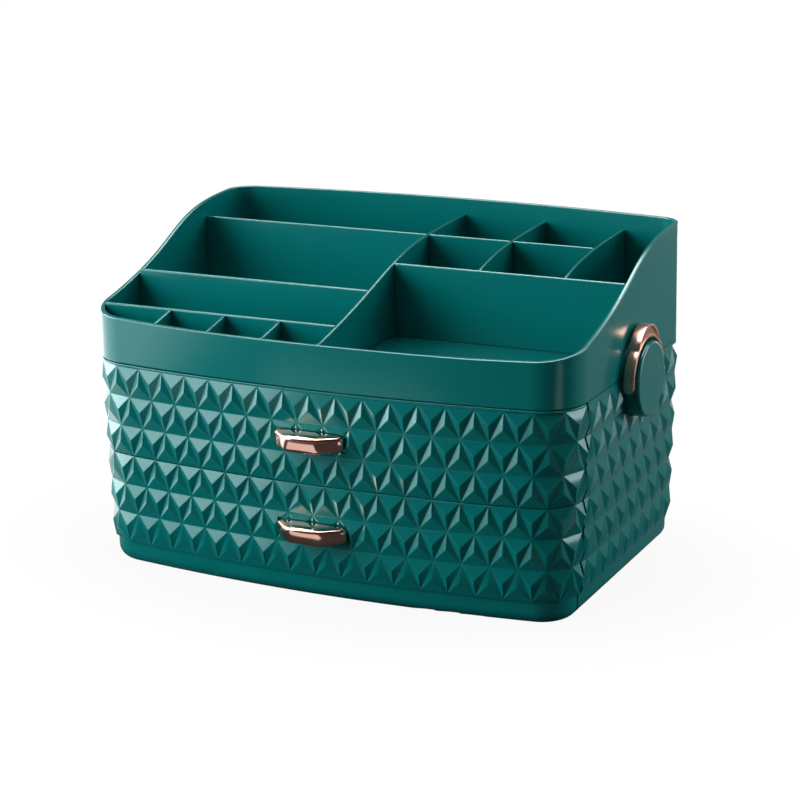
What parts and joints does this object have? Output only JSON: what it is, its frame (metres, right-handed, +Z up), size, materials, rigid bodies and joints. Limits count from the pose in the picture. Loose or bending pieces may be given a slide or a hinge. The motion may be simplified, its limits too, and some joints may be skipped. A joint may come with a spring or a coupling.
{
  "type": "cosmetic organizer box",
  "caption": "Desktop cosmetic organizer with a divided open tray, faceted pull-out drawers with bar knobs and swing-over bail latches at the sides.",
  "frame": {"origin": "on the table under the plan centre of the box, on the plinth of the cabinet floor", "axes": "+X to the right as seen from the front, +Y to the back, +Z up"},
  "size_m": [0.3252, 0.224, 0.1981],
  "materials": {
    "cabinet_plastic": "glossy deep teal-green moulding",
    "tray_plastic": "glossy deep teal-green moulding",
    "drawer_plastic": "satin deep teal-green moulding",
    "rose_gold": "mirror rose-gold plating",
    "steel": "plain zinc-plated steel"
  },
  "bodies": {
    "box": {"cabinet_shell": "cabinet_plastic", "cabinet_floor": "cabinet_plastic", "cabinet_deck": "cabinet_plastic", "drawer_shelf": "cabinet_plastic", "upper_right_runner": "cabinet_plastic", "upper_left_runner": "cabinet_plastic", "lower_right_runner": "cabinet_plastic", "lower_left_runner": "cabinet_plastic", "right_cabinet_boss": "cabinet_plastic", "left_cabinet_boss": "cabinet_plastic", "tray_shell": "tray_plastic", "centre_divider": "tray_plastic", "left_front_divider": "tray_plastic", "left_middle_divider": "tray_plastic", "left_rear_divider": "tray_plastic", "cell_divider_1": "tray_plastic", "cell_divider_2": "tray_plastic", "cell_divider_3": "tray_plastic", "right_cross_divider": "tray_plastic", "right_inner_divider": "tray_plastic", "right_outer_divider": "tray_plastic", "rear_inner_divider": "tray_plastic", "rear_outer_divider": "tray_plastic", "right_tray_boss": "tray_plastic", "left_tray_boss": "tray_plastic", "right_latch_pins": "steel", "left_latch_pins": "steel", "right_tray_boss_screws": "steel", "left_tray_boss_screws": "steel", "right_cabinet_boss_screws": "steel", "left_cabinet_boss_screws": "steel"},
    "upper_drawer": {"upper_drawer_front": "cabinet_plastic", "upper_drawer_tub": "drawer_plastic", "upper_drawer_knob": "rose_gold", "upper_knob_screws": "steel"},
    "lower_drawer": {"lower_drawer_front": "cabinet_plastic", "lower_drawer_tub": "drawer_plastic", "lower_drawer_knob": "rose_gold", "lower_knob_screws": "steel"},
    "right_latch": {"right_latch": "rose_gold"},
    "left_latch": {"left_latch": "rose_gold"}
  },
  "joints": [
    {"name": "upper_drawer_slide", "type": "slide", "parent": "box", "child": "upper_drawer", "axis": [0, -1, 0], "range_m": [0, 0.14]},
    {"name": "lower_drawer_slide", "type": "slide", "parent": "box", "child": "lower_drawer", "axis": [0, -1, 0], "range_m": [0, 0.14]},
    {"name": "right_latch_hinge", "type": "hinge", "parent": "box", "child": "right_latch", "pos_m": [0.1576, 0.0071, 0.1217], "axis": [0, 1, 0], "range_deg": [0, 170]},
    {"name": "left_latch_hinge", "type": "hinge", "parent": "box", "child": "left_latch", "pos_m": [-0.1576, 0.0071, 0.1217], "axis": [0, -1, 0], "range_deg": [0, 170]}
  ]
}
